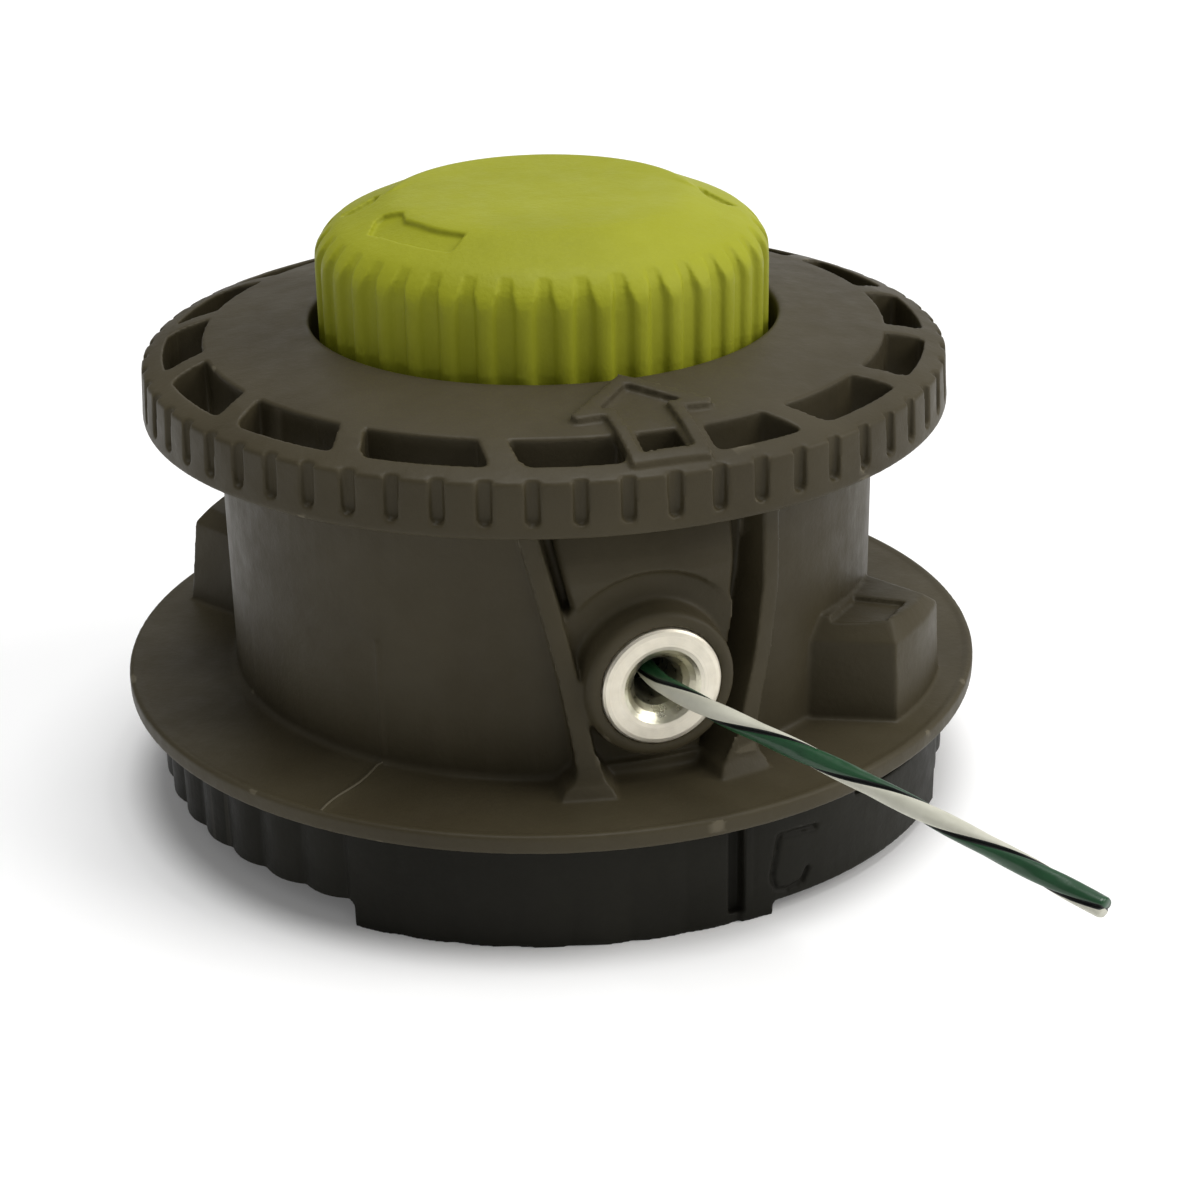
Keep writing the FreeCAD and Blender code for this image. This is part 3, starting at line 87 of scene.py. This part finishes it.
def grid_object(name, V, close_u=True, cap_first=False, cap_last=False, loop_v=False, index=None):
    """Rows x columns x 3 points in millimetres as quads; columns close on themselves."""
    rows, cols = V.shape[:2]
    verts = (V.reshape(-1, 3) / 1000.0).tolist()
    faces, mats = [], []
    rr = rows if loop_v else rows - 1
    cc = cols if close_u else cols - 1
    for i in range(rr):
        i2 = (i + 1) % rows
        for j in range(cc):
            j2 = (j + 1) % cols
            faces.append((i * cols + j, i * cols + j2, i2 * cols + j2, i2 * cols + j))
            mats.append(0 if index is None else int(index[i, j]))
    if cap_first:
        c = V[0].mean(axis=0) / 1000.0
        verts.append(c.tolist())
        k = len(verts) - 1
        for j in range(cc):
            faces.append((k, (j + 1) % cols, j))
            mats.append(mats[j])
    if cap_last:
        c = V[-1].mean(axis=0) / 1000.0
        verts.append(c.tolist())
        k = len(verts) - 1
        o = (rows - 1) * cols
        for j in range(cc):
            faces.append((k, o + j, o + (j + 1) % cols))
            mats.append(mats[(rr - 1) * cc + j])
    me = bpy.data.meshes.new(name)
    me.from_pydata(verts, [], faces)
    me.polygons.foreach_set("material_index", mats)
    me.polygons.foreach_set("use_smooth", [True] * len(faces))
    me.update()
    return link(bpy.data.objects.new(name, me))


def fix_normals(obj):
    bm = bmesh.new()
    bm.from_mesh(obj.data)
    bmesh.ops.recalc_face_normals(bm, faces=bm.faces[:])
    bm.to_mesh(obj.data)
    bm.free()
    obj.data.update()


# ------------------------------------------------------------------------------------------------ line end
# The route of the line that stands out of the front eyelet, in metres.
ROUTE = [(0.01055, -0.0370, 0.0306), (0.0117, -0.0426, 0.03085), (0.0142, -0.0470, 0.0309), (0.0207, -0.0546, 0.0306),
         (0.0369, -0.0713, 0.0296), (0.0559, -0.0920, 0.0270)]
cu = bpy.data.curves.new("line_route", "CURVE")
cu.dimensions = "3D"
sp = cu.splines.new("NURBS")
sp.points.add(len(ROUTE) - 1)
for q, c in zip(sp.points, ROUTE):
    q.co = (*c, 1.0)
sp.order_u = 3
sp.use_endpoint_u = True
sp.resolution_u = 60
route_obj = bpy.data.objects.new("line_route", cu)
line_me = bpy.data.meshes.new_from_object(route_obj)
path = np.array([v.co[:] for v in line_me.vertices])
bpy.data.objects.remove(route_obj)
bpy.data.meshes.remove(line_me)


def twisted_line(name, path, pitch, phase, radius):
    """One filament drawn from a pale and a dark green nylon, with grooved seams between them that are painted
    near-black as shade, twisted along its route.
    """
    seg = np.linalg.norm(np.diff(path, axis=0), axis=1)
    s = np.concatenate([[0.0], np.cumsum(seg)])
    n = 300
    t = np.linspace(0.0, s[-1], n)
    C = np.stack([np.interp(t, s, path[:, k]) for k in range(3)], axis=1)
    T = np.gradient(C, axis=0)
    T /= np.linalg.norm(T, axis=1)[:, None]
    # angles run about the line from the side that faces the front view: 0 nearest to it, +90 the upper edge, -90 the lower
    near = np.array([-0.0200474, -0.9125797, 0.40840714])
    above = np.array([0.02584107, 0.40787983, 0.91266987])
    side = near - (T @ near)[:, None] * T
    side /= np.linalg.norm(side, axis=1)[:, None]
    nor = np.cross(T, side)
    nor *= np.sign(nor @ above)[:, None]
    m = 72
    ang = np.linspace(0.0, 360.0, m, endpoint=False)
    d = np.abs((ang % 180.0) - 90.0)                    # 90 at the pale and green centres, 0 at the seams
    r = radius * (1.0 - 0.28 * np.exp(-(d / 10.0) ** 2) - 0.10 * (1 - sm(d, 0.0, 40.0)) - 0.04 * sm(d, 55.0, 90.0))
    V = np.zeros((n, m, 3))
    for i in range(n):
        turn = math.radians(phase + 360.0 * t[i] * 1000.0 / pitch)
        a = np.radians(ang) + turn
        V[i] = C[i] * 1000.0 + (r[:, None] * 1000.0) * (np.cos(a)[:, None] * side[i] + np.sin(a)[:, None] * nor[i])
    # the two cut ends are slightly rounded
    idx = np.zeros((n, m), int)
    mid = (ang + 0.5 * 360.0 / m) % 360.0
    # faces along the seams take the near-black material: painted shade in the crevices between the strands
    seam = np.abs((mid % 180.0) - 90.0) < 13.0
    col = np.where(seam, 2, np.where((mid < 90.0) | (mid > 270.0), 0, 1))
    idx[:] = col[None, :]
    for i, k in ((0, 0.86), (n - 1, 0.90)):
        V[i] = V[i].mean(axis=0) + (V[i] - V[i].mean(axis=0)) * k
    o = grid_object(name, V, True, True, True, False, idx)
    fix_normals(o)
    return o


line = twisted_line("line_end_twisted", path, 32.2, -184.7, 0.0012)
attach(line, "housing")
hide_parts("line_front")
length = float(np.linalg.norm(np.diff(path, axis=0), axis=1).sum())


# ------------------------------------------------------------------------------------------------ materials
class Mat:
    """Short helpers over a node tree."""

    def __init__(self, name):
        self.mat = bpy.data.materials.new(name)
        self.mat.use_nodes = True
        self.nt = self.mat.node_tree
        self.nt.nodes.clear()
        self.out = self.nt.nodes.new("ShaderNodeOutputMaterial")
        self.bsdf = self.nt.nodes.new("ShaderNodeBsdfPrincipled")
        self.nt.links.new(self.bsdf.outputs[0], self.out.inputs[0])
        self.coord = self.nt.nodes.new("ShaderNodeTexCoord")

    def node(self, kind, **sets):
        n = self.nt.nodes.new(kind)
        for k, v in sets.items():
            setattr(n, k, v)
        return n

    def link(self, a, b):
        self.nt.links.new(a, b)

    def noise(self, scale, detail=3.0, rough=0.55, vector=None, stretch=None):
        n = self.node("ShaderNodeTexNoise")
        n.inputs["Scale"].default_value = scale
        n.inputs["Detail"].default_value = detail
        n.inputs["Roughness"].default_value = rough
        v = vector if vector is not None else self.coord.outputs["Object"]
        if stretch is not None:
            q = self.node("ShaderNodeMapping")
            q.inputs["Scale"].default_value = stretch
            self.link(v, q.inputs["Vector"])
            v = q.outputs["Vector"]
        self.link(v, n.inputs["Vector"])
        return n.outputs["Fac"]

    def ramp(self, fac, stops):
        n = self.node("ShaderNodeValToRGB")
        els = n.color_ramp.elements
        while len(els) < len(stops):
            els.new(0.5)
        for e, (p, c) in zip(els, stops):
            e.position = p
            e.color = c if len(c) == 4 else (*c, 1.0)
        self.link(fac, n.inputs["Fac"])
        return n.outputs["Color"]

    def mix(self, fac, a, b, mode="MIX"):
        n = self.node("ShaderNodeMix", data_type="RGBA", blend_type=mode)
        for sock, v in ((n.inputs[0], fac), (n.inputs[6], a), (n.inputs[7], b)):
            if hasattr(v, "is_output"):
                self.link(v, sock)
            else:
                sock.default_value = v if not isinstance(v, tuple) or len(v) == 4 else (*v, 1.0)
        return n.outputs[2]

    def math(self, op, a, b=None, clamp=False):
        n = self.node("ShaderNodeMath", operation=op, use_clamp=clamp)
        for sock, v in ((n.inputs[0], a), (n.inputs[1], b)):
            if v is None:
                continue
            if hasattr(v, "is_output"):
                self.link(v, sock)
            else:
                sock.default_value = v
        return n.outputs[0]

    def maprange(self, v, a0, a1, b0, b1):
        n = self.node("ShaderNodeMapRange")
        self.link(v, n.inputs[0])
        for i, x in enumerate((a0, a1, b0, b1), start=1):
            n.inputs[i].default_value = x
        return n.outputs[0]

    def bump(self, height, strength, distance, normal=None):
        n = self.node("ShaderNodeBump")
        n.inputs["Strength"].default_value = strength
        n.inputs["Distance"].default_value = distance
        self.link(height, n.inputs["Height"])
        if normal is not None:
            self.link(normal, n.inputs["Normal"])
        return n.outputs["Normal"]


def lin(r, g, b):
    return tuple(((c / 255.0) / 12.92 if c / 255.0 <= 0.04045 else ((c / 255.0 + 0.055) / 1.055) ** 2.4) for c in (r, g, b))


def moulded(name, base, light, dark, rough, streak=0.25, grain=1.0, edge=None, edge_gain=0.5, spec=0.3, wear_and_highlight_range=(0.515, 0.56)):
    """Moulded nylon: broad flow marks, fine glass-fibre grain, and paler edges, partly scuffed by handling and partly
    painted edge highlight.
    """
    m = Mat(name)
    big = m.noise(34.0, 4.0, 0.55)
    col = m.ramp(big, [(0.30, dark), (0.52, base), (0.75, light)])
    fibre = m.noise(1500.0, 2.0, 0.7)
    col = m.mix(m.maprange(fibre, 0.42, 0.78, 0.0, streak), col, light)
    if edge is not None:
        # paler convex edges: partly scuffed by handling, partly painted highlight where rounded edges catch the light
        geo = m.node("ShaderNodeNewGeometry")
        rub_and_highlight = m.maprange(geo.outputs["Pointiness"], wear_and_highlight_range[0], wear_and_highlight_range[1], 0.0, edge_gain)
        rub_and_highlight = m.math("MULTIPLY", rub_and_highlight, m.maprange(m.noise(220.0, 3.0, 0.6), 0.25, 0.6, 0.65, 1.0))
        col = m.mix(rub_and_highlight, col, edge)
    m.link(col, m.bsdf.inputs["Base Color"])
    r = m.maprange(m.noise(260.0, 3.0, 0.6), 0.3, 0.7, rough - 0.05, rough + 0.07)
    m.link(r, m.bsdf.inputs["Roughness"])
    m.bsdf.inputs["Specular IOR Level"].default_value = spec
    n1 = m.bump(m.noise(1100.0, 4.0, 0.65), 0.25 * grain, 0.00016)
    n2 = m.bump(m.noise(90.0, 2.0, 0.5), 0.08 * grain, 0.0005, n1)
    m.link(n2, m.bsdf.inputs["Normal"])
    return m.mat


olive = moulded("olive_nylon", lin(63, 57, 41), lin(70, 64, 48), lin(56, 50, 35), 0.48, 0.14, 1.2, lin(112, 105, 88), 0.50,
                spec=0.17, wear_and_highlight_range=(0.535, 0.60))
green = moulded("green_nylon", lin(147, 150, 34), lin(156, 159, 46), lin(137, 140, 27), 0.52, 0.22, 2.2, spec=0.15)
black = moulded("black_nylon", lin(31, 30, 25), lin(37, 36, 30), lin(26, 25, 20), 0.48, 0.10, 1.2, lin(62, 60, 54), 0.45, spec=0.08,
                wear_and_highlight_range=(0.53, 0.60))
bead_mat = moulded("olive_witness", lin(90, 84, 68), lin(100, 94, 78), lin(76, 70, 55), 0.45, 0.1, 0.6, spec=0.3)


def turned(name, color, rough, centre=None, az=0.0, dirt=0.35, marks=0.5, mouth=None):
    """Metal turned on a lathe: fine rings about its own axis, grime in random blotches, and, with a mouth, painted
    shade in the bore.
    """
    m = Mat(name)
    m.bsdf.inputs["Metallic"].default_value = 1.0
    v = m.coord.outputs["Object"]
    if centre is not None:
        q = m.node("ShaderNodeMapping", vector_type="TEXTURE")
        q.inputs["Location"].default_value = centre
        q.inputs["Rotation"].default_value = (0.0, 0.0, math.radians(az))
        m.link(v, q.inputs["Vector"])
        v = q.outputs["Vector"]
        sep = m.node("ShaderNodeSeparateXYZ")
        m.link(v, sep.inputs[0])
        x2 = m.math("MULTIPLY", sep.outputs["X"], sep.outputs["X"])
        z2 = m.math("MULTIPLY", sep.outputs["Z"], sep.outputs["Z"])
        rad = m.math("SQRT", m.math("ADD", x2, z2))
        comb = m.node("ShaderNodeCombineXYZ")
        m.link(rad, comb.inputs["X"])
        m.link(m.math("MULTIPLY", sep.outputs["Y"], 0.6), comb.inputs["Y"])
        rings = m.noise(5200.0, 2.0, 0.6, vector=comb.outputs[0])
    else:
        rings = m.noise(1800.0, 3.0, 0.6)
    if mouth is not None:
        inner = m.maprange(rad, mouth - 0.00012, mouth + 0.00012, 1.0, 0.0)
        # painted shade: inside the bore the colour turns near-black
        bore_shade = m.maprange(rad, 0.0019, 0.0024, 1.0, 0.0)
    blotch = m.noise(330.0, 4.0, 0.6)
    col = m.mix(m.maprange(blotch, 0.40, 0.72, 0.0, dirt), color, tuple(c * 0.62 for c in color))
    col = m.mix(m.maprange(rings, 0.3, 0.7, 0.0, 0.30), col, tuple(min(1.0, c * 1.12) for c in color))
    fine = m.maprange(m.noise(700.0, 3.0, 0.6), 0.3, 0.7, rough - 0.07, rough + 0.10)
    if mouth is not None:
        # the flared mouth is smoother than the flat face, and its darker colour is partly a duller finish with dirt
        # and partly painted shade for the dim surroundings it reflects; the bore behind it is painted near-black as
        # shade
        col = m.mix(inner, col, m.mix(m.maprange(blotch, 0.35, 0.65, 0.0, 1.0), (0.78, 0.76, 0.60, 1.0), (0.55, 0.52, 0.41, 1.0)))
        col = m.mix(bore_shade, col, (0.035, 0.033, 0.03, 1.0))
        fine = m.math("SUBTRACT", fine, m.math("MULTIPLY", inner, 0.20))
    m.link(col, m.bsdf.inputs["Base Color"])
    m.link(fine, m.bsdf.inputs["Roughness"])
    n = m.bump(rings, 0.35 * marks, 0.00006)
    m.link(m.bump(m.noise(1500.0, 3.0, 0.7), 0.20 * marks, 0.00010, n), m.bsdf.inputs["Normal"])
    return m.mat


EY = at(16.2, 0.047, 0.0304)
EB = at(196.2, 0.047, 0.0304)
alu_front = turned("turned_aluminium_front", (0.84, 0.79, 0.67), 0.50, (EY.x, EY.y, EY.z), 16.2, mouth=0.00485)
alu_rear = turned("turned_aluminium_rear", (0.84, 0.79, 0.67), 0.50, (EB.x, EB.y, EB.z), 196.2, mouth=0.00485)
zinc = turned("zinc_plate", (0.60, 0.60, 0.58), 0.36)
spring = turned("spring_wire", (0.34, 0.34, 0.35), 0.30, dirt=0.2)
acetal = moulded("acetal", lin(206, 204, 196), lin(216, 214, 206), lin(196, 194, 186), 0.35, 0.05, 0.4)
spool_black = moulded("spool_nylon", lin(34, 34, 34), lin(42, 42, 42), lin(26, 26, 26), 0.42, 0.10, 0.8)


def nylon(name, base, dark, rough, spec, coat=0.0, streaks=0.4):
    """Drawn filament: streaks of darker tone, fine die marks."""
    m = Mat(name)
    big = m.noise(240.0, 3.0, 0.6)
    col = m.mix(m.maprange(big, 0.38, 0.66, 0.0, streaks), base, dark)
    m.link(col, m.bsdf.inputs["Base Color"])
    m.link(m.maprange(m.noise(900.0, 2.0, 0.6), 0.3, 0.7, rough - 0.05, rough + 0.08), m.bsdf.inputs["Roughness"])
    m.bsdf.inputs["Specular IOR Level"].default_value = spec
    m.bsdf.inputs["Coat Weight"].default_value = coat
    m.bsdf.inputs["Coat Roughness"].default_value = 0.12
    m.link(m.bump(m.noise(1300.0, 3.0, 0.7), 0.22, 0.00008), m.bsdf.inputs["Normal"])
    return m.mat


nylon_white = nylon("nylon_white", lin(198, 197, 182), lin(166, 166, 150), 0.36, 0.4)
nylon_green = nylon("nylon_dark_green", lin(28, 70, 41), lin(13, 40, 24), 0.34, 0.40, coat=0.15)
# near-black nylon for the seams: painted shade in the crevices between the strands
nylon_seam_painted_shade = nylon("nylon_seam_painted_shade", lin(16, 20, 18), lin(8, 10, 9), 0.5, 0.3)
for mm in (nylon_white, nylon_green, nylon_seam_painted_shade):
    line.data.materials.append(mm)


def wound(name):
    """Turns of two-tone filament side by side: level bands a line's width apart, pale and dark green in turn, with
    painted shade where they meet.
    """
    m = Mat(name)
    sep = m.node("ShaderNodeSeparateXYZ")
    m.link(m.coord.outputs["Object"], sep.inputs[0])
    az = m.math("ARCTAN2", sep.outputs["X"], sep.outputs["Y"])
    phase = m.math("ADD", m.math("MULTIPLY", sep.outputs["Z"], 2618.0), m.math("MULTIPLY", az, 9.0))
    wave = m.math("SINE", phase)
    wob = m.math("ADD", wave, m.maprange(m.noise(300.0, 3.0, 0.6), 0.3, 0.7, -0.35, 0.35))
    # the near-black stop between the green and pale bands is painted shade in the crevices between turns
    col = m.ramp(m.maprange(wob, -1.0, 1.0, 0.0, 1.0), [(0.36, lin(22, 50, 38)), (0.46, lin(10, 14, 12)), (0.54, lin(196, 195, 180))])
    m.link(col, m.bsdf.inputs["Base Color"])
    m.bsdf.inputs["Roughness"].default_value = 0.32
    groove = m.math("ABSOLUTE", m.math("SINE", m.math("MULTIPLY", sep.outputs["Z"], 1309.0)))
    m.link(m.bump(groove, 0.8, 0.0007), m.bsdf.inputs["Normal"])
    return m.mat


coil = wound("wound_line")

LOOK = {"upper_housing": black, "lower_housing": olive, "knob": green, "eyelet_front": alu_front, "eyelet_rear": alu_rear,
        "arbor_insert": zinc, "index_cam_screws": zinc, "drive_cam_screws": zinc, "knob_screws": zinc, "spring_washer": zinc,
        "bump_spring": spring, "retaining_ring": spring, "index_cam_ring": acetal, "drive_cam_ring": acetal,
        "spring_seat": acetal, "thrust_washer": acetal, "spool": spool_black, "line_coil_lower": coil, "line_coil_upper": coil,
        "line_front": nylon_white}
for name, obj in N.items():
    obj.data.materials.clear()
    obj.data.materials.append(LOOK[name])


# ------------------------------------------------------------------------------------------------ moulded edges
def applied(obj, kind, **sets):
    """Adds one modifier and bakes its result into the mesh."""
    m = obj.modifiers.new("step", kind)
    for k, v in sets.items():
        setattr(m, k, v)
    dg = bpy.context.evaluated_depsgraph_get()
    me = bpy.data.meshes.new_from_object(obj.evaluated_get(dg), preserve_all_data_layers=True, depsgraph=dg)
    obj.modifiers.clear()
    old = obj.data
    obj.data = me
    bpy.data.meshes.remove(old)


def soften(name, node, body, voxel, rounds, target, material, extra=None):
    """The node's own shape with the small radii that moulded plastic has on every edge."""
    o = link(bpy.data.objects.new(name, N[node].data.copy()))
    applied(o, "REMESH", mode="VOXEL", voxel_size=voxel, use_smooth_shade=True)
    applied(o, "SMOOTH", factor=0.5, iterations=rounds)
    if extra is not None:
        extra(o)
    dense = link(bpy.data.objects.new(name + "_dense", o.data.copy()))
    applied(o, "DECIMATE", ratio=min(1.0, target / (2.0 * len(o.data.polygons))))
    o.data.polygons.foreach_set("use_smooth", [True] * len(o.data.polygons))
    applied(o, "DATA_TRANSFER", object=dense, use_loop_data=True, data_types_loops={"CUSTOM_NORMAL"},
            loop_mapping="POLYINTERP_NEAREST")
    old = dense.data
    bpy.data.objects.remove(dense)
    bpy.data.meshes.remove(old)
    o.data.materials.clear()
    o.data.materials.append(material)
    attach(o, body)
    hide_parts(node)
    print(name, len(o.data.polygons), "faces")
    return o


lower = soften("lower_housing_moulded", "lower_housing", "housing", 0.00027, 4, 192000, olive)
upper = soften("upper_housing_moulded", "upper_housing", "housing", 0.00026, 5, 170000, black)
knob = soften("knob_moulded", "knob", "spool_and_knob", 0.00024, 5, 150000, green)

# the spring stands on the housing as a copy with its own mesh; it is not shortened here for the knob's 6 mm of travel
sprung = link(bpy.data.objects.new("bump_spring_sprung", N["bump_spring"].data.copy()))
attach(sprung, "housing")
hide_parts("bump_spring")
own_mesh(sprung)


# ------------------------------------------------------------------------------------------------ witness bead
def bead(name, pts, normals, across, width, height, material):
    """A thin half-round ridge along points in millimetres."""
    V = []
    n = len(pts)
    prof = [(-0.5, -0.12), (-0.42, 0.42), (-0.2, 0.85), (0.0, 1.0), (0.2, 0.85), (0.42, 0.42), (0.5, -0.12)]
    for i in range(n):
        t = i / (n - 1)
        k = max(0.02, min(1.0, t / 0.30, (1.0 - t) / 0.04))
        V.append([np.array(pts[i]) + np.array(across[i]) * u * width + np.array(normals[i]) * w * height * (k if w > 0 else 1.0)
                  for u, w in prof])
    o = grid_object(name, np.array(V), close_u=False)
    o.data.materials.append(material)
    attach(o, "housing")
    return o


pts, nor, acr = [], [], []
az0 = math.radians(-29.5)
rad = np.array([math.sin(az0), -math.cos(az0), 0.0])
tan = np.array([math.cos(az0), math.sin(az0), 0.0])
zed = np.array([0.0, 0.0, 1.0])
for z in np.linspace(33.0, 18.3, 28):
    w = 0.28 * math.sin(z * 0.9) * 0.4
    pts.append(rad * 43.02 + tan * w + zed * z)
    nor.append(rad)
    acr.append(tan)
for k in np.linspace(0.1, 1.0, 7):
    a = k * math.pi / 2
    pts.append(rad * (43.55 - 0.53 * math.cos(a)) + zed * (18.05 - 0.52 * math.sin(a)))
    nor.append(rad * math.cos(a) + zed * math.sin(a))
    acr.append(tan)
for r in np.linspace(44.2, 56.9, 26):
    pts.append(rad * r + tan * (0.25 * math.sin(r * 0.55)) + zed * 17.53)
    nor.append(zed)
    acr.append(tan)
bead("witness_bead", pts, nor, acr, 0.34, 0.15, bead_mat)

# ------------------------------------------------------------------------------------------------ floor and light
bm = bmesh.new()
bmesh.ops.create_grid(bm, x_segments=1, y_segments=1, size=3.0)
me = bpy.data.meshes.new("floor")
bm.to_mesh(me)
bm.free()
floor = link(bpy.data.objects.new("floor", me))
fm = Mat("floor_white")
fm.bsdf.inputs["Base Color"].default_value = (0.88, 0.88, 0.88, 1.0)
fm.bsdf.inputs["Roughness"].default_value = 0.8
fm.bsdf.inputs["Specular IOR Level"].default_value = 0.1
fm.bsdf.inputs["Emission Color"].default_value = (1.0, 1.0, 1.0, 1.0)
fm.bsdf.inputs["Emission Strength"].default_value = 0.08
floor.data.materials.append(fm.mat)

world = bpy.data.worlds.new("studio")
world.use_nodes = True
world.node_tree.nodes["Background"].inputs[0].default_value = (1.0, 1.0, 1.0, 1.0)
world.node_tree.nodes["Background"].inputs[1].default_value = 0.17
scene.world = world


def sun(name, towards, power, spread, color=(1.0, 1.0, 1.0)):
    d = bpy.data.lights.new(name, "SUN")
    d.energy = power
    d.color = color
    d.angle = math.radians(spread)
    o = link(bpy.data.objects.new(name, d))
    o.rotation_mode = "QUATERNION"
    o.rotation_quaternion = Vector(towards).to_track_quat("Z", "Y")
    return o


sun("top", (0.10, 0.05, 1.0), 2.45, 38.0)
sun("right", (0.94, -0.14, 0.58), 1.55, 40.0, (1.0, 0.98, 0.95))
sun("left", (-0.95, 0.10, 0.50), 0.08, 40.0)
sun("front", (0.15, -0.92, 0.40), 0.20, 60.0)
sun("back", (0.25, 0.95, 0.50), 0.35, 60.0)
